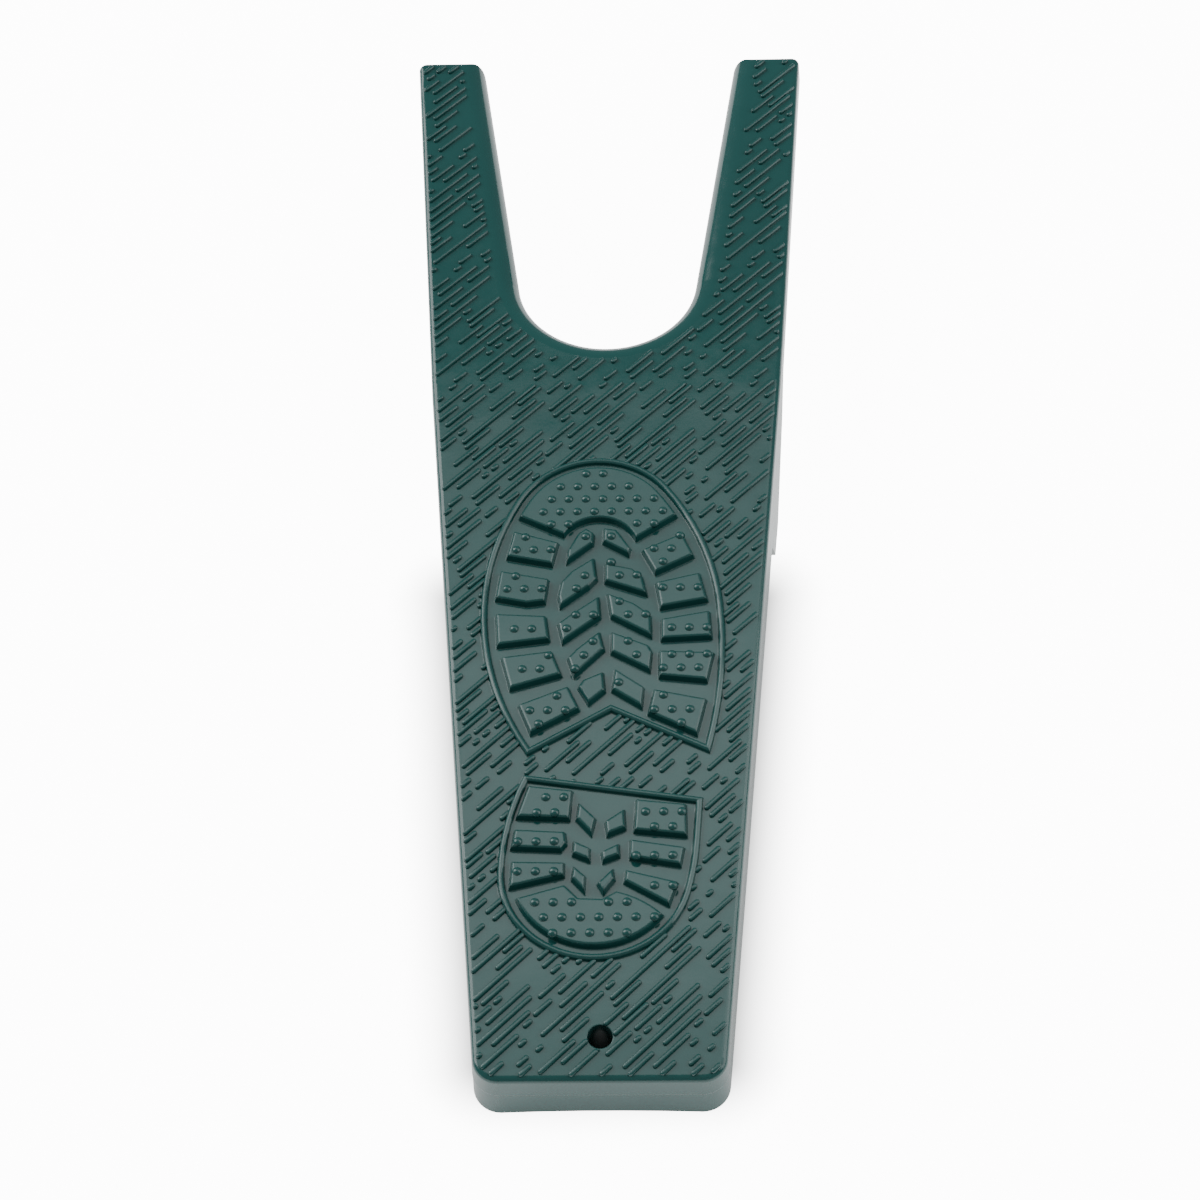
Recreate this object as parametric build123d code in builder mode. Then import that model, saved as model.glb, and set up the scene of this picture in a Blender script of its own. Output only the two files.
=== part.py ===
from build123d import *
from math import acos, atan2, ceil, cos, degrees, hypot, radians, sin, tan
import os

# A plastic boot jack, standing on its four rubber feet. +Z is up, +X is to the right and +Y runs
# from the heel end to the fork. The origin is on the floor, under the middle of the jack.
# A place is a distance along the deck, from the top edge of the heel's wall.

# Raised sole print: two outlines with lugs inside them
sole_place = 30.8
sole_length = 143.0
sole_notch_distance = 39.8
print_root = 0.8
lug_height = 2.0
lug_draft_angle = 15.0
lug_edge_cut = 0.3
cap_gap = 3.0
outline_height = 1.2
outline_top_width = 1.2
outline_edge_share = 0.3

# Raised hatch: its longer bars
hatch_tile = 40.0
hatch_angle = 45.0
bar_width = 1.0
bar_height = 0.6
bar_draft_angle = 18.0
bar_root = 0.2
hatch_edge_gap = 0.3
hatch_roll_gap = 0.8
shortest_bar = 6.0

# Deck, in plan
heel_half_width = 29.3
bend_half_width = 46.4
bend_notch_distance = 13.6
tip_half_width = 54.3
heel_corner_radius = 6.0
tip_corner_margin = 0.5

# Fork
notch_depth = 100.4
notch_radius = 24.7
tip_arm_width = 18.25

# Moulding: walls, edges and draft
deck_thickness = 2.6
skirt_thickness = 2.4
rib_thickness = 1.8
rib_set_back = 1.2
rib_embed = 0.5
rim_radius = 1.5
notch_roll_radius = 6.0
draft_angle = 3.5
parting_depth = 7.5
parting_step = 0.3

# Skirt and leg, seen from the side: depths are below the deck's top face
heel_depth = 17.0
heel_relief = 0.8
leg_drop = 11.5
leg_notch_distance = 45.6
leg_back_run = 5.0
leg_front_run = 38.75
leg_sole_margin = 0.25
fork_depth = 12.0
tip_depth = 10.0

# Hanging hole
hole_place = 11.0
hole_diameter = 6.0
hole_boss_wall = 2.5

# Rubber feet, four alike
foot_diameter = 10.0
foot_stand = 1.2
foot_edge_cut = 0.3
stem_diameter = 4.6
stem_length = 5.5
barb_height = 0.5
barb_length = 0.7
socket_clearance = 0.1
socket_spare_depth = 1.0
heel_foot_gap = 2.9
leg_foot_gap = 6.9

# How far cutting tools run past what they cut
overrun = 20.0

# Places in the sole print, in thousandths of the sole's length: x to the right of its middle
# line, y from its heel end
whole_shares = 1000
toe_side_shares = [
    (-128, 394), (-213, 688), (-155, 914), (-82, 985), (111, 939), (205, 693), (181, 397),
]
toe_side_angle = 123.0
toe_fork_share = (14, 479)
heel_side_shares = [(-131, 341), (-170, 159), (-135, 61), (143, 118), (160, 213), (166, 296)]
heel_side_angle = -114.0
between_prints_share = 367
toe_cap_left_shares = [(-224, 914), (-74, 840)]
toe_cap_arch_share = (-11, 874)
toe_cap_right_shares = [(58, 831), (256, 966)]
toe_lug_shares = [
    [(-171, 793), (-95, 777), (-86, 818), (-160, 841)],
    [(-189, 705), (-137, 694), (-107, 698), (-102, 740), (-182, 757)],
    [(-184, 608), (-99, 619), (-105, 662), (-188, 667)],
    [(-160, 520), (-77, 546), (-93, 589), (-175, 578)],
    [(-123, 431), (-45, 476), (-63, 516), (-143, 482)],
    [(93, 758), (156, 791), (138, 833), (72, 801)],
    [(103, 684), (180, 699), (168, 749), (96, 731)],
    [(105, 618), (187, 622), (184, 669), (105, 654)],
    [(101, 542), (179, 533), (190, 584), (101, 588)],
    [(82, 467), (161, 427), (176, 490), (91, 509)],
]
arrow_lug_shares = [
    [(-45, 836), (-62, 802), (-63, 786), (-23, 819), (-22, 838), (-33, 846)],
    [(1, 823), (42, 798), (44, 806), (20, 843), (2, 846)],
    [(-56, 756), (-73, 735), (-78, 707), (-75, 690), (-28, 728), (-16, 742), (-21, 781)],
    [(5, 739), (72, 714), (65, 746), (49, 760), (5, 770)],
    [(-58, 664), (-77, 648), (-70, 616), (-9, 664), (-12, 699)],
    [(16, 665), (81, 627), (80, 664), (52, 687), (10, 706)],
    [(-45, 594), (-59, 577), (-49, 547), (-2, 596), (-9, 626)],
    [(17, 591), (79, 556), (82, 589), (77, 600), (17, 626)],
    [(-33, 530), (-40, 518), (-24, 490), (0, 512), (-3, 544)],
    [(19, 514), (65, 483), (68, 516), (23, 549)],
]
heel_lug_shares = [
    [(-141, 266), (-58, 262), (-54, 311), (-124, 320)],
    [(-150, 207), (-70, 203), (-63, 213), (-65, 231), (-145, 236)],
    [(-151, 133), (-66, 154), (-66, 173), (-149, 175)],
    [(58, 238), (141, 229), (140, 283), (61, 292)],
    [(51, 187), (131, 173), (136, 201), (51, 215)],
    [(42, 141), (112, 100), (124, 136), (44, 157)],
]
leaf_lug_shares = [
    [(-40, 260), (-19, 236), (-14, 259), (-37, 283)],
    [(9, 252), (12, 232), (37, 243), (35, 271)],
    [(-46, 194), (-23, 184), (-23, 201), (-45, 212)],
    [(3, 194), (5, 182), (27, 191), (26, 206)],
    [(-47, 147), (-31, 129), (-30, 149), (-45, 163)],
    [(-3, 136), (4, 124), (19, 145), (17, 157)],
]
heel_cap_left_shares = [(-221, 82), (-63, 130), (-40, 106), (2, 104), (26, 118)]
heel_cap_arch_share = (66, 102)
heel_cap_right_shares = [(100, 77), (160, 28)]

# Bars of one tile of the hatch, in thousandths of the tile: where each starts and ends along the
# hatch, and how far across it lies, from the middle of the heel's top edge
hatch_bar_shares = [
    (2710, 3370, 2972), (3190, 3845, 3008), (3233, 3900, 3148), (2783, 3438, 3270), (2270, 2920, 3493),
    (2883, 3237, 3213), (3250, 3613, 3328), (3043, 3420, 3393), (3250, 3610, 3455), (2605, 2963, 3553),
]

# Places of the ribs: across the deck as shares of its half width, along the deck as shares of its
# length behind the notch, and in the fork as shares of the notch's depth
rib_side_shares = [-0.5, 0.0, 0.5]
cross_rib_shares = [0.2, 0.35, 0.5, 0.65, 0.9]
fork_rib_shares = [0.19, 0.43, 0.67]

# Worked out along the deck
notch_bottom = sole_place + sole_length + sole_notch_distance
deck_length = notch_bottom + notch_depth
bend_place = notch_bottom - bend_notch_distance
leg_place = notch_bottom - leg_notch_distance
leg_sole_length = foot_diameter + 2 * leg_sole_margin
leg_back = leg_place - leg_sole_length / 2
leg_front = leg_place + leg_sole_length / 2
leg_front_end = leg_front + leg_front_run

# Worked out for the deck's lean and for where it stands
lean = atan2(leg_drop, leg_place)
draft = tan(radians(draft_angle))
heel_rise = foot_stand + heel_depth * cos(lean)
tip_overhang = tip_depth * (sin(lean) + draft * cos(lean)) - parting_step * cos(lean)
heel_y = -(deck_length * cos(lean) + tip_overhang) / 2
deepest = heel_depth + leg_front * tan(lean)
fork_slope = (fork_depth - tip_depth) / (deck_length - leg_front_end)

# Worked out for the notch: a round bottom with straight sides that open towards the tips
notch_centre = notch_bottom + notch_radius
mouth_half_width = tip_half_width - tip_arm_width
mouth_reach = deck_length - notch_centre
mouth_angle = degrees(atan2(mouth_reach, mouth_half_width))
notch_flare = mouth_angle - degrees(acos(notch_radius / hypot(mouth_half_width, mouth_reach)))
notch_tangent = (
    notch_radius * cos(radians(notch_flare)),
    notch_centre + notch_radius * sin(radians(notch_flare)),
)
mouth_beyond = (
    mouth_half_width - overrun * sin(radians(notch_flare)),
    deck_length + overrun * cos(radians(notch_flare)),
)

# Worked out for edges and small parts
tip_corner_radius = rim_radius + tip_corner_margin
lug_growth = (print_root + lug_height) * tan(radians(lug_draft_angle)) + lug_edge_cut / 2
outline_inset = (print_root + outline_height) * tan(radians(lug_draft_angle))
outline_half_width = outline_top_width / 2 + outline_inset
barb_diameter = stem_diameter + 2 * barb_height
socket_diameter = barb_diameter + 2 * socket_clearance

# The deck's top face, and the upright plane along the jack's middle
deck = Plane((0, heel_y, heel_rise), x_dir=(1, 0, 0), z_dir=(0, -sin(lean), cos(lean)))
side = Plane(deck.origin, x_dir=deck.y_dir, z_dir=(1, 0, 0))


def half_width(place):
    """Half the deck's width at a place along it."""
    if place < bend_place:
        return heel_half_width + (bend_half_width - heel_half_width) * place / bend_place
    beyond = (place - bend_place) / (deck_length - bend_place)
    return bend_half_width + (tip_half_width - bend_half_width) * beyond


def near_deck(middle):
    """Whether a bar with this middle can lie on the deck."""
    reach = hatch_tile / 4
    return abs(middle.X) < half_width(middle.Y) + reach and -reach < middle.Y < deck_length + reach


def floor_depth(place):
    """Depth below the deck of the level plane that the feet are seated on."""
    return heel_depth + place * tan(lean)


def foot_centre(place, gap):
    """X and Y of a right foot that keeps a gap from the skirt, at a place along the deck."""
    x = half_width(place) - skirt_thickness - gap - foot_diameter / 2
    return x, heel_y + place * cos(lean) + floor_depth(place) * sin(lean)


def sole_points(shares):
    """Points of the sole print, in the deck's plane."""
    unit = sole_length / whole_shares
    return [(x * unit, sole_place + y * unit) for x, y in shares]


def deck_face(growth):
    """The deck's outline with its fork, grown or shrunk on all sides."""
    with BuildSketch() as outline:
        with BuildLine():
            Polyline(
                (0, 0),
                (heel_half_width, 0),
                (bend_half_width, bend_place),
                (tip_half_width, deck_length),
                (mouth_half_width, deck_length),
                notch_tangent,
            )
            CenterArc((0, notch_centre), notch_radius, notch_flare, -90 - notch_flare)
            mirror(about=Plane.YZ)
        make_face()
        fillet(outline.vertices().group_by(Axis.Y)[0], heel_corner_radius)
        fillet(outline.vertices().group_by(Axis.Y)[-1], tip_corner_radius)
        if growth:
            offset(amount=growth, kind=Kind.INTERSECTION)
    return outline.sketch


def notch_face(growth):
    """The fork's opening, grown on all sides."""
    with BuildSketch() as opening:
        with BuildLine():
            Line(mouth_beyond, notch_tangent)
            CenterArc((0, notch_centre), notch_radius, notch_flare, -180 - 2 * notch_flare)
            left_tangent = (-notch_tangent[0], notch_tangent[1])
            Polyline(left_tangent, (-mouth_beyond[0], mouth_beyond[1]), mouth_beyond)
        make_face()
        offset(amount=growth, kind=Kind.INTERSECTION)
    return opening.sketch


def trim(set_back):
    """Keeps what lies inside the jack's outline as seen from the side, less a set back below."""
    with BuildSketch(side) as outline:
        with BuildLine():
            Polyline(
                (-overrun, overrun),
                (-overrun, set_back - heel_depth),
                (leg_back - leg_back_run, set_back - heel_depth),
                (leg_back, set_back - floor_depth(leg_back)),
                (leg_front, set_back - floor_depth(leg_front)),
                (leg_front_end, set_back - fork_depth),
                (deck_length + overrun, set_back - tip_depth + fork_slope * overrun),
                (deck_length + overrun, overrun),
                close=True,
            )
        make_face()
    extrude(outline.sketch, amount=tip_half_width + overrun, both=True, mode=Mode.INTERSECT)


heel_foot_place = skirt_thickness + heel_foot_gap + foot_diameter / 2
heel_foot_x, heel_foot_y = foot_centre(heel_foot_place, heel_foot_gap)
leg_foot_x, leg_foot_y = foot_centre(leg_place, leg_foot_gap)
foot_places = {
    "heel_foot_left": (-heel_foot_x, heel_foot_y),
    "heel_foot_right": (heel_foot_x, heel_foot_y),
    "leg_foot_left": (-leg_foot_x, leg_foot_y),
    "leg_foot_right": (leg_foot_x, leg_foot_y),
}

# The solid envelope: drafted walls in two bands, cut to the side outline
with BuildPart() as envelope:
    with BuildSketch(deck):
        add(deck_face(0))
    extrude(amount=-parting_depth, taper=-draft_angle)
    with BuildSketch(deck.offset(-parting_depth)):
        add(deck_face(parting_depth * draft - parting_step))
    extrude(amount=-deepest, taper=-draft_angle)
    trim(0)

# The hollow under the deck, grown a little into the walls so that what fills it is rooted in them
rib_top = deck_thickness - rib_embed
with BuildPart() as core:
    with BuildSketch(deck.offset(-rib_top)):
        add(deck_face(rib_top * draft - skirt_thickness + rib_embed))
    extrude(amount=-deepest, taper=-draft_angle)
    trim(0)

# Ribs along and across the underside and the hanging hole's boss, set back from the lower edges
with BuildPart() as ribs:
    with BuildSketch(deck.offset(-rib_top)):
        for share in rib_side_shares:
            with BuildLine():
                Line((share * half_width(0), 0), (share * half_width(notch_bottom), notch_bottom))
            trace(line_width=rib_thickness)
        with Locations([(0, share * notch_bottom) for share in cross_rib_shares]):
            Rectangle(2 * tip_half_width, rib_thickness)
        with Locations([(0, notch_bottom + share * notch_depth) for share in fork_rib_shares]):
            Rectangle(2 * tip_half_width, rib_thickness)
        with Locations((0, hole_place)):
            Circle(hole_diameter / 2 + hole_boss_wall)
    extrude(amount=-deepest)
    trim(rib_set_back)
    add(core, mode=Mode.INTERSECT)

# The leg's two cross walls
with BuildPart() as leg_walls:
    with BuildSketch(deck.offset(-rib_top)):
        with Locations((0, leg_back + skirt_thickness / 2), (0, leg_front - skirt_thickness / 2)):
            Rectangle(2 * tip_half_width, skirt_thickness)
    extrude(amount=-deepest)
    add(core, mode=Mode.INTERSECT)

# The bosses that the feet are pushed into: their lower faces are the feet's seats
with BuildPart() as foot_bosses:
    with BuildSketch(Plane.XY.offset(foot_stand)):
        with Locations(list(foot_places.values())):
            Circle(foot_diameter / 2)
    extrude(amount=heel_rise + deck_length * sin(lean))
    split(bisect_by=deck.offset(-rib_top), keep=Keep.BOTTOM)

# The tool that rolls the deck's edge over into the notch's drafted wall
with BuildPart() as roll:
    with BuildLine(deck) as notch_path:
        Line(mouth_beyond, notch_tangent)
        CenterArc((0, notch_centre), notch_radius, notch_flare, -180 - 2 * notch_flare)
        Line((-notch_tangent[0], notch_tangent[1]), (-mouth_beyond[0], mouth_beyond[1]))
    along = notch_path.line % 0
    with BuildSketch(Plane(notch_path.line @ 0, x_dir=deck.z_dir.cross(along), z_dir=along)):
        with BuildLine():
            centre_x = notch_roll_radius * tan(radians(45 - draft_angle / 2))
            crest = CenterArc((centre_x, -notch_roll_radius), notch_roll_radius, 90, 90 - draft_angle)
            wall_end = crest @ 1
            Polyline(wall_end, (-overrun, wall_end.Y), (-overrun, overrun), (centre_x, overrun), crest @ 0)
        make_face()
    sweep()


def break_edges(part, size):
    """Takes the sharpness off the top edges of what stands on the deck."""
    tops = part.faces().group_by(Axis(deck.origin, deck.z_dir))[-1]
    chamfer(tops.edges(), size)


def outline_face(side_shares, angle, closing_shares):
    """A face inside arcs that start at an angle and run on tangent to each other."""
    corners = sole_points(side_shares)
    with BuildSketch() as face:
        with BuildLine():
            direction = (cos(radians(angle)), sin(radians(angle)))
            for start, end in zip(corners, corners[1:]):
                arc = TangentArc(start, end, tangent=direction)
                direction = arc % 1
            Polyline(corners[-1], *sole_points(closing_shares), corners[0])
        make_face()
    return face.sketch


toe_face = outline_face(toe_side_shares, toe_side_angle, [toe_fork_share])
heel_face = outline_face(heel_side_shares, heel_side_angle, [])

# The sole print's two outlines: a narrow ridge each, rooted in the deck
with BuildPart() as outlines:
    with BuildSketch(deck.offset(-print_root)):
        for face in (toe_face, heel_face):
            offset(face, outline_half_width, kind=Kind.INTERSECTION, mode=Mode.ADD)
            offset(face, -outline_half_width, kind=Kind.INTERSECTION, mode=Mode.SUBTRACT)
    extrude(amount=print_root + outline_height, taper=lug_draft_angle)
    break_edges(outlines, outline_edge_share * outline_top_width)


def cap_face(face, left_shares, arch_share, right_shares):
    """The end of a print that a line, an arch and a line cut off from the rest of it."""
    left = sole_points(left_shares)
    right = sole_points(right_shares)
    between_y = sole_points([(0, between_prints_share)])[0][1]
    with BuildSketch() as cap:
        offset(face, -cap_gap, kind=Kind.INTERSECTION)
        with BuildLine():
            Polyline((left[0][0], between_y), *left)
            ThreePointArc(left[-1], sole_points([arch_share])[0], right[0])
            Polyline(*right, (right[-1][0], between_y), (left[0][0], between_y))
        make_face(mode=Mode.SUBTRACT)
    return cap.sketch


# The lugs inside the outlines, rooted in the deck and wider there than the tops that are drawn
with BuildPart() as lugs:
    with BuildSketch(deck.offset(-print_root)):
        for shares in toe_lug_shares + arrow_lug_shares + heel_lug_shares + leaf_lug_shares:
            with BuildLine():
                Polyline(*sole_points(shares), close=True)
            make_face()
        add(cap_face(toe_face, toe_cap_left_shares, toe_cap_arch_share, toe_cap_right_shares))
        add(cap_face(heel_face, heel_cap_left_shares, heel_cap_arch_share, heel_cap_right_shares))
        offset(amount=lug_growth, kind=Kind.INTERSECTION)
    extrude(amount=print_root + lug_height, taper=lug_draft_angle)
    break_edges(lugs, lug_edge_cut)

# Where the hatch stands: flat deck, clear of the edges, the sole print and the hanging hole
with BuildSketch() as hatch_field:
    add(deck_face(-rim_radius - hatch_edge_gap))
    add(notch_face(notch_roll_radius + hatch_roll_gap), mode=Mode.SUBTRACT)
    for face in (toe_face, heel_face):
        offset(face, outline_half_width + hatch_edge_gap, kind=Kind.INTERSECTION, mode=Mode.SUBTRACT)
    with Locations((0, hole_place)):
        Circle(hole_diameter / 2 + hatch_edge_gap, mode=Mode.SUBTRACT)

# Places of the tiles' corners that cover the deck
tile_columns = range(-ceil(deck_length / hatch_tile), ceil(deck_length / hatch_tile) + 1)
tile_corners = [Vector(i * hatch_tile, j * hatch_tile) for i in tile_columns for j in tile_columns]

# The hatch's longer bars, rooted in the deck
with BuildPart() as bars:
    with BuildSketch(deck.offset(-bar_root)) as bar_faces:
        for start_share, end_share, across_share in hatch_bar_shares:
            bar_length = (end_share - start_share) * hatch_tile / whole_shares - bar_width
            middle = Vector((start_share + end_share) / 2, across_share) * hatch_tile / whole_shares
            middle = middle.rotate(Axis.Z, hatch_angle)
            with Locations([middle + corner for corner in tile_corners if near_deck(middle + corner)]):
                Rectangle(bar_length, bar_width, rotation=hatch_angle)
        add(hatch_field.sketch, mode=Mode.INTERSECT)
    whole_bars = [face for face in bar_faces.sketch.faces() if face.area > bar_width * shortest_bar]
    extrude(whole_bars, amount=bar_root + bar_height, taper=bar_draft_angle)

# The moulding: a rounded envelope, hollowed from below, with everything that is moulded on it
with BuildPart() as body:
    add(envelope)
    top = body.faces().sort_by(Axis(deck.origin, deck.z_dir))[-1]
    fillet(top.edges(), rim_radius)
    add(roll, mode=Mode.SUBTRACT)
    with BuildSketch(deck.offset(-deck_thickness)):
        add(deck_face(deck_thickness * draft - skirt_thickness))
    extrude(amount=-deepest, taper=-draft_angle, mode=Mode.SUBTRACT)
    add(ribs)
    add(leg_walls)
    add(foot_bosses)
    add(outlines)
    add(lugs)
    add(bars)
    with BuildSketch(Plane.XY.offset(foot_stand)):
        with Locations(list(foot_places.values())):
            Circle(socket_diameter / 2)
    extrude(amount=stem_length + socket_spare_depth, mode=Mode.SUBTRACT)
    with BuildSketch(deck.offset(overrun)):
        with Locations((0, hole_place)):
            Circle(hole_diameter / 2)
    extrude(amount=-2 * overrun, mode=Mode.SUBTRACT)
    with BuildSketch(Plane((0, heel_y - overrun, foot_stand), x_dir=(1, 0, 0), z_dir=(0, -1, 0))):
        with BuildLine():
            relief_end = heel_half_width - heel_corner_radius
            ThreePointArc((-relief_end, 0), (0, heel_relief), (relief_end, 0))
            Polyline((relief_end, 0), (relief_end, -overrun), (-relief_end, -overrun), (-relief_end, 0))
        make_face()
    extrude(amount=-overrun - 2 * skirt_thickness, mode=Mode.SUBTRACT)

os.makedirs("parts", exist_ok=True)
body.part.label = "body"
export_step(body.part, "parts/body.step")


# The push-in feet: a disc each, on a stem with a barbed end
stem_top = foot_stand + stem_length
for name, (x, y) in foot_places.items():
    with BuildPart() as foot:
        with BuildSketch(Plane((x, y, 0), x_dir=(1, 0, 0), z_dir=(0, -1, 0))):
            with BuildLine():
                Polyline(
                    (0, 0),
                    (foot_diameter / 2, 0),
                    (foot_diameter / 2, foot_stand),
                    (stem_diameter / 2, foot_stand),
                    (stem_diameter / 2, stem_top - barb_length),
                    (barb_diameter / 2, stem_top - barb_length),
                    (stem_diameter / 2, stem_top),
                    (0, stem_top),
                    close=True,
                )
            make_face()
        revolve(axis=Axis((x, y, 0), (0, 0, 1)))
        chamfer(foot.edges().group_by(Axis.Z)[0], foot_edge_cut)
    foot.part.label = name
    export_step(foot.part, f"parts/{name}.step")
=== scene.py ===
from itertools import product
from math import asin, atan2, ceil, cos, hypot, pi, radians, sin

import bpy
from mathutils import Matrix, Vector
from mathutils.bvhtree import BVHTree


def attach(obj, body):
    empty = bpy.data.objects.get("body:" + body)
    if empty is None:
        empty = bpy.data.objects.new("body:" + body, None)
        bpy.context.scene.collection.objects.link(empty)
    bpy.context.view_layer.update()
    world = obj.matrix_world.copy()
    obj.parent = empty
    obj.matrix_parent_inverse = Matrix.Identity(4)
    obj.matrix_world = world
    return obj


# A moulded plastic boot jack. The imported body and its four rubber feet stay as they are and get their
# materials; the raised hatch and the studs on the lugs are added here. Lengths are in millimetres
# on the deck, unless a comment says otherwise: x to the right, s along the deck from the heel's top
# edge, n up from the deck.

MM = 0.001

# The deck's plane in the frame, as the part's source has it
LEAN = atan2(11.5, 168.0)
DECK_ORIGIN = Vector((0, -157.13, 18.1603))

# A ray that looks for the body's top surface: its start above the deck's plane, and its length
RAY_START = 10.0
RAY_LENGTH = 14.0

# Raised hatch: one tile of it, repeated over the deck. A dash has its start and end along the hatch
# and its distance across it, measured from the middle of the heel's top edge.
HATCH_ANGLE = radians(45)
HATCH_TILE = 40.0
HATCH_DASHES = [
    (135.2, 144.1, 118.2), (108.4, 134.8, 118.9), (160.4, 162.7, 119.5), (127.6, 153.8, 120.3),
    (156.1, 161.9, 121.6), (122.8, 131.6, 122.3), (143.9, 152.7, 122.4), (166.3, 174.9, 122.4),
    (128.6, 137.7, 124.2), (148.1, 156.5, 124.4), (160.9, 172.8, 124.4), (129.3, 156.0, 125.9),
    (170.3, 179.0, 126.2), (156.8, 161.3, 127.2), (115.3, 129.5, 128.5), (130.4, 133.3, 128.6),
    (141.8, 150.7, 128.5), (164.3, 166.6, 128.8), (158.6, 162.3, 129.3), (111.3, 137.5, 130.8),
    (152.3, 157.2, 132.3), (162.3, 164.9, 132.6), (145.7, 150.2, 133.0), (119.5, 128.6, 133.0),
    (130.0, 144.5, 133.1), (152.4, 164.4, 134.8), (109.9, 112.7, 135.3), (113.6, 119.6, 135.7),
    (121.7, 136.8, 135.7), (138.8, 146.8, 135.9), (146.7, 155.2, 137.5), (101.5, 113.9, 137.2),
    (117.6, 126.4, 138.2), (130.0, 144.4, 138.2), (90.8, 116.8, 139.7), (124.1, 127.2, 140.7),
    (127.8, 136.3, 140.7), (138.8, 141.5, 141.2), (104.2, 118.5, 142.1), (141.5, 146.2, 142.2),
    (123.7, 132.5, 143.2), (90.2, 98.7, 144.8), (99.5, 108.4, 144.6), (109.1, 111.8, 144.6),
    (124.3, 136.3, 145.5), (125.4, 127.7, 114.2), (128.7, 131.2, 114.2),
]

# The tiles that are laid out, and the limits of the area where a dash can be on the deck
TILE_COLUMNS = range(-3, 4)
TILE_ROWS = range(-6, 5)
AREA_HALF_WIDTH = 70
AREA_START = -15
AREA_END = 330

# A dash's section from its foot to its crest: heights, with shares of its half width
DASH_HALF_WIDTH = 0.62
DASH_PROFILE = [(-0.1, 1.06), (0.05, 1.01), (0.35, 0.95), (0.55, 0.84), (0.66, 0.66), (0.7, 0.42)]
DASH_END_POINTS = 6
DASH_SHORTEST = 0.2
DASH_STEP = 0.25

# A dash stands where the body is flat deck or one of the long bars, between these heights, and where
# none of the places around it lies lower than the deck by more than the drop
FLAT_BELOW = 0.02
BAR_TOP = 0.65
EDGE_PROBES = [(0.5, 0.0), (-0.5, 0.0), (0.0, 0.9), (0.0, -0.5)]
EDGE_DROP = 0.06

# The fork's opening: a round bottom, straight sides from it to the mouth, and the band round it that
# has no hatch
NOTCH_BOTTOM = 213.6
NOTCH_RADIUS = 24.7
MOUTH_PLACE = 314.0
MOUTH_HALF_WIDTH = 36.05
NOTCH_CLEARANCE = 6.4

# The sole print's two ridges, in thousandths of the sole's length: corners joined by arcs that run on
# tangent to each other from a first direction, then straight lines back
SOLE_PLACE = 30.8
SOLE_LENGTH = 143.0
TOE_CORNERS = [(-128, 394), (-213, 688), (-155, 914), (-82, 985), (111, 939), (205, 693), (181, 397)]
TOE_FIRST_ANGLE = radians(123)
TOE_CLOSING = [(14, 479)]
HEEL_CORNERS = [(-131, 341), (-170, 159), (-135, 61), (143, 118), (160, 213), (166, 296)]
HEEL_FIRST_ANGLE = radians(-114)
ARC_POINTS = 12

# Studs on the lugs: rows of two kinds take turns, half a pitch apart. Each row has its place along the
# deck and the numbers of the grid places that have a stud. A stud's profile has shares of its height
# above the lug, with shares of its radius.
STUD_PITCH = 4.41
EVEN_FIRST_X = -2.6
ODD_FIRST_X = -0.45
EVEN_STUD_ROWS = [
    (165.0, [-2, -1, 0, 1, 2]), (157.2, [-3, -2, -1, 0, 1, 2, 3, 4]), (149.5, [-4, -0.49, 1, 5]),
    (141.6, [1, 4]), (133.75, [-5, -4, -3, -1, 4, 5, 6]), (125.8, [-1, 0, 2, 3]), (117.9, [0, 2]),
    (110.0, [-4, -3, -1, 4, 5, 6]), (102.1, [-2, 4]), (94.2, [-3, 5]), (69.3, [-3, -2, 3, 4, 5]),
    (61.4, [-4, -3, -2]), (53.3, [-4, -3, -2]), (45.0, [-3, -2, -1, 1, 2]), (36.9, [-2, -1, 0, 1, 2]),
]
ODD_STUD_ROWS = [
    (169.0, [-1, 0]), (161.1, [-3, -2, -1, 0, 1, 2, 3]), (153.4, [-3, -2, 2, 3]),
    (145.6, [-5, -4, -3, 3, 4]), (137.6, [-5, -1, 1, 2]), (129.7, [1]),
    (121.8, [-5, -4, -2, 4, 5, 6]), (113.9, [-3, -1, 2, 4, 5, 6]),
    (105.9, [1]), (98.0, [-4, -3, -2, 3, 4, 5]), (73.5, [-3, -2]), (65.25, [3, 4]), (57.4, [2, 3, 4]),
    (49.3, [3, 4]), (41.0, [-3, -2, -1, 0, 1, 2, 3]),
]
STUD_RADIUS = 1.12
STUD_HEIGHT = 0.75
STUD_POINTS = 16
STUD_PROFILE = [
    (-0.4, 1.15), (0.0, 1.05), (0.28, 0.95), (0.58, 0.78), (0.82, 0.52), (0.95, 0.28), (1.0, 0.06),
]
LUG_HEIGHT = 2.0

# Colours: the plastic and the rubber each change softly from the first to the second
PLASTIC_COLOURS = [(0.0075, 0.058, 0.0545, 1), (0.0105, 0.072, 0.067, 1)]
RUBBER_COLOURS = [(0.012, 0.012, 0.012, 1), (0.035, 0.034, 0.033, 1)]
FLOOR_COLOUR = (0.9, 0.9, 0.9, 1)
WHITE = (1, 1, 1, 1)

# The floor, in metres: its glow as the camera sees it and as it lights the jack, and the zone under and
# beside the jack that has no glow, painted shade that stands in for the jack's shadow, which widens toward
# the fork
FLOOR_HALF_SIZE = 6.0
GLOW_SEEN = 12.0
GLOW_CAST = 0.9
SHADE_CENTRE = (0, -0.075, 0)
SHADE_HALF_SIZE = (0.0325, 0.068, 1)
SHADE_WIDENING = 0.085
SHADE_FADE = 0.022

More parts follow.
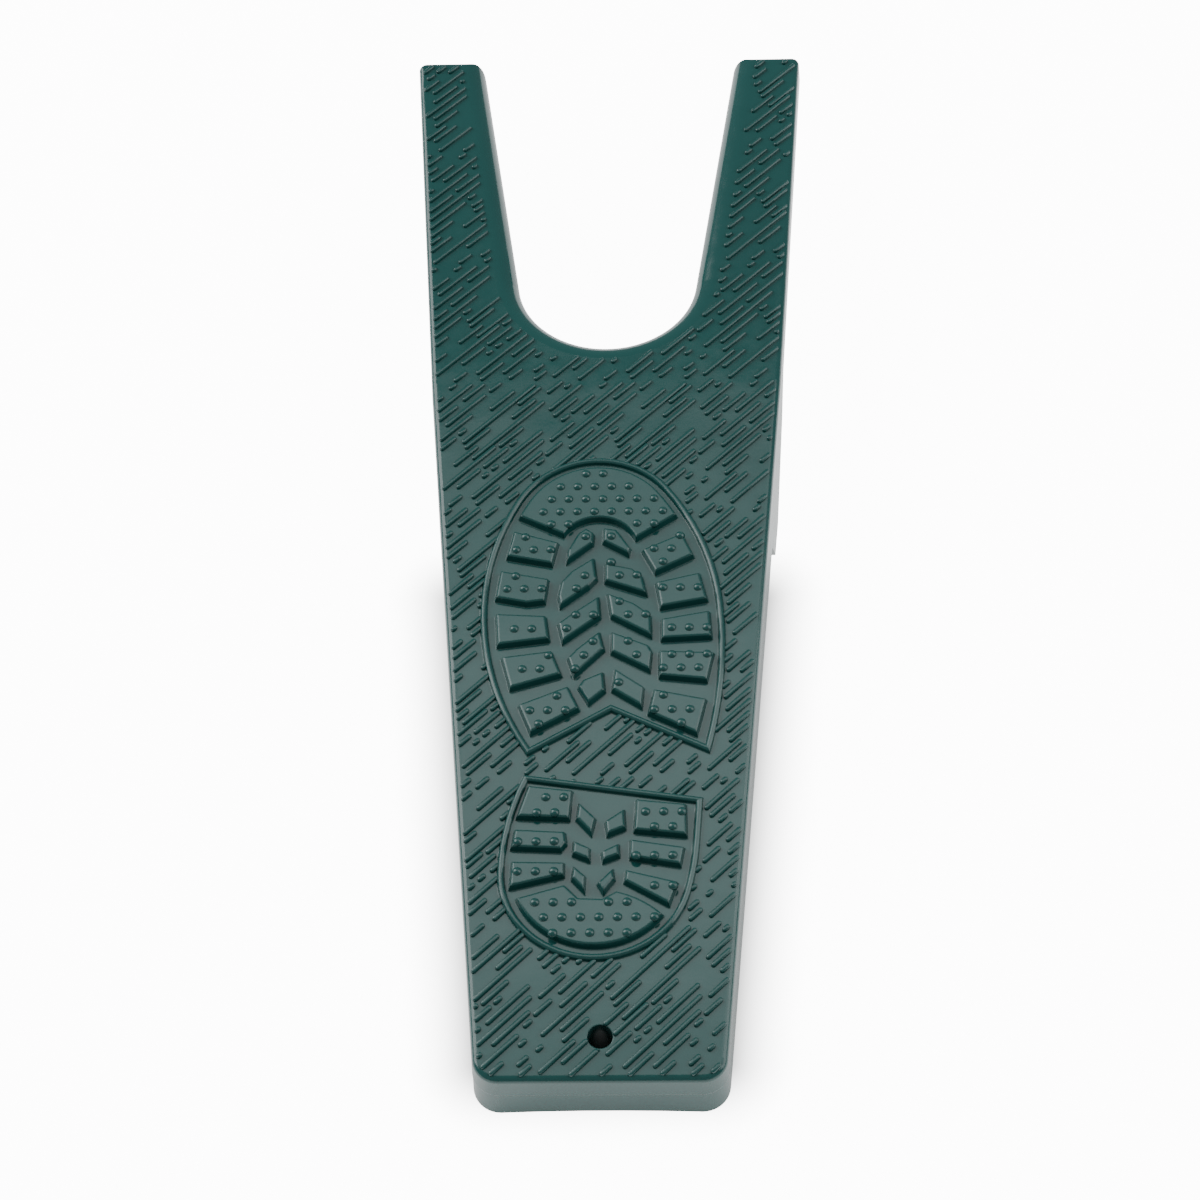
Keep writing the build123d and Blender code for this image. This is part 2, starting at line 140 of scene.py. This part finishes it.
# Softboxes, in the frame's metres and in watts: name, place, aim, width, height and power
SOFTBOXES = [
    ("sheen", (0.1, 0.52, 1.5), (0.1, 0.0, 0), 2.0, 0.74, 6.2),
    ("sheen_core", (0.1, 0.56, 1.45), (0.1, 0.0, 0), 2.0, 0.28, 1.3),
    ("left", (-1.1, 0.55, 0.95), (0, 0.0, 0), 1.2, 1.2, 22.0),
    ("right", (1.3, 0.1, 0.9), (0, 0.0, 0), 1.2, 1.2, 12.0),
]
WORLD_STRENGTH = 0.3

# The camera: its place and aim on the deck, its roll in radians, its lens and sensor, and the nearest
# and farthest it sees, in metres
CAMERA_PLACE = (24.5, -285.7, 659.5)
CAMERA_AIM = (-1.0, 131.4, 0.0)
CAMERA_ROLL = -0.0083
CAMERA_LENS = 92.23
CAMERA_SENSOR = 36
CAMERA_NEAR = 0.01
CAMERA_FAR = 50

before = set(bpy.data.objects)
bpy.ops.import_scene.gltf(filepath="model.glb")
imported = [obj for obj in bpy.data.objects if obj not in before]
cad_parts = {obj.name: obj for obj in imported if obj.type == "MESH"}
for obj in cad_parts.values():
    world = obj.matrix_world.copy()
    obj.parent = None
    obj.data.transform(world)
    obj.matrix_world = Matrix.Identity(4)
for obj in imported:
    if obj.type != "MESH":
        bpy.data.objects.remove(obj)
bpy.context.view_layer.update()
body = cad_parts["body"]

across = Vector((1, 0, 0))
along = Vector((0, cos(LEAN), sin(LEAN)))
up = Vector((0, -sin(LEAN), cos(LEAN)))


def on_deck(x, s, n):
    """The frame's point, in metres, for a place on the deck."""
    return (DECK_ORIGIN + x * across + s * along + n * up) * MM


body_tree = BVHTree.FromPolygons(
    [v.co for v in body.data.vertices], [p.vertices for p in body.data.polygons]
)


def deck_height(x, s):
    """How high the body's top surface lies above the deck's plane at a place, or None beside it."""
    start = on_deck(x, s, RAY_START)
    hit, _, _, distance = body_tree.ray_cast(start, -up, RAY_LENGTH * MM)
    if hit is None:
        return None
    return RAY_START - distance / MM


def mesh_object(name, verts, faces, material):
    """Adds a smooth mesh that rides on the body."""
    mesh = bpy.data.meshes.new(name)
    mesh.from_pydata(verts, [], faces)
    mesh.validate()
    for polygon in mesh.polygons:
        polygon.use_smooth = True
    obj = bpy.data.objects.new(name, mesh)
    bpy.context.scene.collection.objects.link(obj)
    obj.data.materials.append(material)
    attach(obj, "root")


def stack_rings(verts, faces, rings):
    """Adds a closed form made of rings with the same number of points, capped at both ends."""
    first = len(verts)
    count = len(rings[0])
    for ring in rings:
        verts.extend(ring)
    for level in range(len(rings) - 1):
        for i in range(count):
            a = first + level * count + i
            b = first + level * count + (i + 1) % count
            faces.append((a, b, b + count, a + count))
    faces.append(tuple(first + i for i in reversed(range(count))))
    top = first + (len(rings) - 1) * count
    faces.append(tuple(top + i for i in range(count)))


# Materials

def node_maker(material):
    """A function that adds a node to a material and sets its inputs."""
    tree = material.node_tree

    def make(kind, inputs=None, **settings):
        node = tree.nodes.new(kind)
        for key, value in settings.items():
            setattr(node, key, value)
        for key, value in (inputs or {}).items():
            if isinstance(value, bpy.types.NodeSocket):
                tree.links.new(value, node.inputs[key])
            else:
                node.inputs[key].default_value = value
        return node
    return make


def plastic_material():
    """Glossy moulded plastic, very slightly wavy and cloudy, with an uneven gloss."""
    material = bpy.data.materials.new("green_plastic")
    material.use_nodes = True
    shader = material.node_tree.nodes["Principled BSDF"]
    make = node_maker(material)
    place = make("ShaderNodeTexCoord").outputs["Object"]
    cloudy = make("ShaderNodeTexNoise", {"Vector": place, "Scale": 28.0, "Detail": 2.0})
    colour = make("ShaderNodeMixRGB", {
        "Fac": cloudy.outputs["Fac"],
        "Color1": PLASTIC_COLOURS[0],
        "Color2": PLASTIC_COLOURS[1],
    })
    wear = make("ShaderNodeTexNoise", {"Vector": place, "Scale": 240.0, "Detail": 6.0, "Roughness": 0.7})
    rough = make("ShaderNodeMapRange", {
        "Value": wear.outputs["Fac"],
        "From Min": 0.35,
        "From Max": 0.75,
        "To Min": 0.09,
        "To Max": 0.18,
    })
    soft_edges = make("ShaderNodeBevel", {"Radius": 0.45 * MM}, samples=6)
    wavy = make("ShaderNodeBump", {
        "Height": cloudy.outputs["Fac"],
        "Strength": 1.0,
        "Distance": 0.3 * MM,
        "Normal": soft_edges.outputs["Normal"],
    })
    grain = make("ShaderNodeTexNoise", {"Vector": place, "Scale": 900.0, "Detail": 3.0})
    peel = make("ShaderNodeBump", {
        "Height": grain.outputs["Fac"],
        "Strength": 0.6,
        "Distance": 0.01 * MM,
        "Normal": wavy.outputs["Normal"],
    })
    links = material.node_tree.links
    links.new(colour.outputs["Color"], shader.inputs["Base Color"])
    links.new(rough.outputs["Result"], shader.inputs["Roughness"])
    links.new(peel.outputs["Normal"], shader.inputs["Normal"])
    shader.inputs["IOR"].default_value = 1.5
    return material


def rubber_material():
    """Dull black rubber with a fine grain."""
    material = bpy.data.materials.new("foot_rubber")
    material.use_nodes = True
    shader = material.node_tree.nodes["Principled BSDF"]
    make = node_maker(material)
    place = make("ShaderNodeTexCoord").outputs["Object"]
    grain = make("ShaderNodeTexNoise", {"Vector": place, "Scale": 1500.0, "Detail": 4.0})
    dust = make("ShaderNodeMixRGB", {
        "Fac": grain.outputs["Fac"],
        "Color1": RUBBER_COLOURS[0],
        "Color2": RUBBER_COLOURS[1],
    })
    bump = make("ShaderNodeBump", {
        "Height": grain.outputs["Fac"],
        "Strength": 0.5,
        "Distance": 0.03 * MM,
    })
    links = material.node_tree.links
    links.new(dust.outputs["Color"], shader.inputs["Base Color"])
    links.new(bump.outputs["Normal"], shader.inputs["Normal"])
    shader.inputs["Roughness"].default_value = 0.75
    return material


plastic = plastic_material()
rubber = rubber_material()
for name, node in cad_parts.items():
    node.data.materials.clear()
    node.data.materials.append(plastic if name == "body" else rubber)


# Raised hatch

def hatch_point(a, b):
    """The place on the deck for a distance along the hatch and one across it."""
    return a * cos(HATCH_ANGLE) - b * sin(HATCH_ANGLE), a * sin(HATCH_ANGLE) + b * cos(HATCH_ANGLE)


def dash_rings(start, end):
    """A rounded bar on the deck between two places: rings that follow it from its foot to its crest."""
    direction = Vector((end[0] - start[0], end[1] - start[1]))
    turn = atan2(direction.y, direction.x)
    rings = []
    for n, share in DASH_PROFILE:
        radius = DASH_HALF_WIDTH * share
        ring = []
        for centre, side in ((end, -pi / 2), (start, pi / 2)):
            for k in range(DASH_END_POINTS):
                angle = turn + side + pi * k / (DASH_END_POINTS - 1)
                x = centre[0] + radius * cos(angle)
                s = centre[1] + radius * sin(angle)
                ring.append(on_deck(x, s, n))
        rings.append(ring)
    return rings


def sole_place(x, y):
    """The place on the deck of a point of the sole print."""
    return x * SOLE_LENGTH / 1000, SOLE_PLACE + y * SOLE_LENGTH / 1000


def ridge_line(corners, angle, closing):
    """The middle line of a ridge, as points along its arcs."""
    line = []
    for start, end in zip(corners, corners[1:]):
        (x0, s0), (x1, s1) = sole_place(*start), sole_place(*end)
        chord = atan2(s1 - s0, x1 - x0)
        turn = (chord - angle + pi) % (2 * pi) - pi
        for k in range(ARC_POINTS):
            part = turn * k / ARC_POINTS
            reach = hypot(x1 - x0, s1 - s0) * sin(part) / sin(turn)
            line.append((x0 + reach * cos(angle + part), s0 + reach * sin(angle + part)))
        angle = angle + 2 * turn
    return line + [sole_place(*corners[-1])] + [sole_place(*point) for point in closing]


PRINT_LINES = [
    ridge_line(TOE_CORNERS, TOE_FIRST_ANGLE, TOE_CLOSING),
    ridge_line(HEEL_CORNERS, HEEL_FIRST_ANGLE, []),
]


def crossings(x, s, outline):
    """How many sides of a closed outline a line from a place to the right crosses."""
    count = 0
    for (x1, s1), (x2, s2) in zip(outline, outline[1:] + outline[:1]):
        if (s1 > s) != (s2 > s) and x < x1 + (x2 - x1) * (s - s1) / (s2 - s1):
            count += 1
    return count


def inside_print(x, s):
    """Whether a place lies inside one of the two ridges of the sole print."""
    return any(crossings(x, s, line) % 2 for line in PRINT_LINES)


def from_notch(x, s):
    """The distance of a place from the fork's opening."""
    centre = NOTCH_BOTTOM + NOTCH_RADIUS
    reach = MOUTH_PLACE - centre
    flare = atan2(MOUTH_HALF_WIDTH, reach) - asin(NOTCH_RADIUS / hypot(MOUTH_HALF_WIDTH, reach))
    beside, beyond = abs(x), s - centre
    if beyond * cos(flare) + beside * sin(flare) < 0:
        return hypot(beside, beyond) - NOTCH_RADIUS
    return beside * cos(flare) - beyond * sin(flare) - NOTCH_RADIUS


def free_for_hatch(x, s):
    """Whether the hatch stands on a place: flat deck or a bar of it, clear of the edges and the print."""
    height = deck_height(x, s)
    if height is None or not -FLAT_BELOW < height < BAR_TOP or inside_print(x, s):
        return False
    if from_notch(x, s) < NOTCH_CLEARANCE:
        return False
    around = [deck_height(x + dx, s + ds) for dx, ds in EDGE_PROBES]
    return all(h is not None and h > -EDGE_DROP for h in around)


def free_runs(a0, a1, b):
    """The stretches of a dash that stand on free deck."""
    steps = max(2, ceil((a1 - a0) / DASH_STEP))
    runs, start = [], None
    for k in range(steps + 1):
        a = a0 + (a1 - a0) * k / steps
        if free_for_hatch(*hatch_point(a, b)):
            if start is None:
                start = a
            last = a
        elif start is not None:
            runs.append((start, last))
            start = None
    if start is not None:
        runs.append((start, last))
    return [(p, q) for p, q in runs if q - p > DASH_SHORTEST]


def hatch_dashes():
    """Adds all dashes of the hatch as one mesh."""
    verts, faces = [], []
    c, d = cos(HATCH_ANGLE), sin(HATCH_ANGLE)
    for i, j in product(TILE_COLUMNS, TILE_ROWS):
        tile_a = (i * c + j * d) * HATCH_TILE
        tile_b = (j * c - i * d) * HATCH_TILE
        for tile_start, tile_end, tile_distance in HATCH_DASHES:
            a0 = tile_start + tile_a + DASH_HALF_WIDTH
            a1 = tile_end + tile_a - DASH_HALF_WIDTH
            b = tile_distance + tile_b
            x, s = hatch_point((a0 + a1) / 2, b)
            if abs(x) > AREA_HALF_WIDTH or s < AREA_START or s > AREA_END:
                continue
            for p, q in free_runs(a0, a1, b):
                stack_rings(verts, faces, dash_rings(hatch_point(p, b), hatch_point(q, b)))
    mesh_object("hatch_dashes", verts, faces, plastic)


def stud_rings(x, s):
    """A domed stud on a lug: rings from its foot to its crest."""
    angles = [2 * pi * i / STUD_POINTS for i in range(STUD_POINTS)]
    rings = []
    for height_share, radius_share in STUD_PROFILE:
        n = LUG_HEIGHT + STUD_HEIGHT * height_share
        radius = STUD_RADIUS * radius_share
        rings.append([on_deck(x + radius * cos(v), s + radius * sin(v), n) for v in angles])
    return rings


def lug_studs():
    """Adds all studs on the lugs as one mesh."""
    verts, faces = [], []
    for first_x, rows in ((EVEN_FIRST_X, EVEN_STUD_ROWS), (ODD_FIRST_X, ODD_STUD_ROWS)):
        for s, numbers in rows:
            for number in numbers:
                stack_rings(verts, faces, stud_rings(first_x + number * STUD_PITCH, s))
    mesh_object("lug_studs", verts, faces, plastic)


hatch_dashes()
lug_studs()

# Floor, lights and camera

def floor_material():
    """Pale floor that shows white, as overexposed paper does, with a zone without glow round the jack:
    painted shade under and beside it.
    """
    material = bpy.data.materials.new("floor")
    material.use_nodes = True
    shader = material.node_tree.nodes["Principled BSDF"]
    make = node_maker(material)
    place = make("ShaderNodeTexCoord").outputs["Object"]
    centred = make("ShaderNodeVectorMath", {0: place, 1: SHADE_CENTRE}, operation="SUBTRACT")
    parts = make("ShaderNodeSeparateXYZ", {0: centred.outputs[0]})
    beside = make("ShaderNodeMath", {0: parts.outputs["X"]}, operation="ABSOLUTE")
    widening = make("ShaderNodeMath", {0: parts.outputs["Y"], 1: SHADE_WIDENING}, operation="MULTIPLY")
    past_side = make("ShaderNodeMath", {0: beside.outputs[0], 1: widening.outputs[0]}, operation="SUBTRACT")
    along_jack = make("ShaderNodeMath", {0: parts.outputs["Y"]}, operation="ABSOLUTE")
    folded = make("ShaderNodeCombineXYZ", {0: past_side.outputs[0], 1: along_jack.outputs[0], 2: 0.0})
    past = make("ShaderNodeVectorMath", {0: folded.outputs[0], 1: SHADE_HALF_SIZE}, operation="SUBTRACT")
    outside = make("ShaderNodeVectorMath", {0: past.outputs[0], 1: (0, 0, 0)}, operation="MAXIMUM")
    distance = make("ShaderNodeVectorMath", {0: outside.outputs[0]}, operation="LENGTH")
    # Painted shade: the glow is nothing in the zone under and beside the jack, and rises to full over the
    # fade
    rise = make("ShaderNodeMapRange", {
        "Value": distance.outputs["Value"],
        "From Min": 0.0,
        "From Max": SHADE_FADE,
        "To Min": 0.0,
        "To Max": 1.0,
    }, interpolation_type="SMOOTHSTEP")
    seen = make("ShaderNodeLightPath").outputs["Is Camera Ray"]
    strength = make("ShaderNodeMapRange", {"Value": seen, "To Min": GLOW_CAST, "To Max": GLOW_SEEN})
    glow = make("ShaderNodeMath", {
        0: rise.outputs["Result"],
        1: strength.outputs["Result"],
    }, operation="MULTIPLY")
    material.node_tree.links.new(glow.outputs[0], shader.inputs["Emission Strength"])
    shader.inputs["Base Color"].default_value = FLOOR_COLOUR
    shader.inputs["Roughness"].default_value = 0.9
    shader.inputs["Specular IOR Level"].default_value = 0.1
    shader.inputs["Emission Color"].default_value = WHITE
    return material


floor_signs = [(-1, -1), (1, -1), (1, 1), (-1, 1)]
floor_corners = [(x * FLOOR_HALF_SIZE, y * FLOOR_HALF_SIZE, 0) for x, y in floor_signs]
floor_mesh = bpy.data.meshes.new("floor")
floor_mesh.from_pydata(floor_corners, [], [(0, 1, 2, 3)])
floor_object = bpy.data.objects.new("floor", floor_mesh)
bpy.context.scene.collection.objects.link(floor_object)
floor_mesh.materials.append(floor_material())


def soft_light(name, place, aim, width, height, power):
    """Adds a rectangular softbox that faces its aim."""
    data = bpy.data.lights.new(name, "AREA")
    data.shape = "RECTANGLE"
    data.size, data.size_y = width, height
    data.energy = power
    light = bpy.data.objects.new(name, data)
    bpy.context.scene.collection.objects.link(light)
    light.location = place
    light.rotation_mode = "QUATERNION"
    light.rotation_quaternion = (Vector(aim) - Vector(place)).to_track_quat("-Z", "Y")


for softbox in SOFTBOXES:
    soft_light(*softbox)

world = bpy.data.worlds.new("studio")
world.use_nodes = True
background = world.node_tree.nodes["Background"]
background.inputs["Color"].default_value = WHITE
background.inputs["Strength"].default_value = WORLD_STRENGTH
bpy.context.scene.world = world

camera_data = bpy.data.cameras.new("camera")
camera_data.lens = CAMERA_LENS
camera_data.sensor_width = CAMERA_SENSOR
camera_data.clip_start = CAMERA_NEAR
camera_data.clip_end = CAMERA_FAR
camera = bpy.data.objects.new("camera", camera_data)
bpy.context.scene.collection.objects.link(camera)
camera_place = on_deck(*CAMERA_PLACE)
back = (camera_place - on_deck(*CAMERA_AIM)).normalized()
camera_up = sin(CAMERA_ROLL) * across + cos(CAMERA_ROLL) * along
right = camera_up.cross(back).normalized()
turned = Matrix((right, back.cross(right), back)).transposed().to_4x4()
camera.matrix_world = Matrix.Translation(camera_place) @ turned
bpy.context.scene.camera = camera
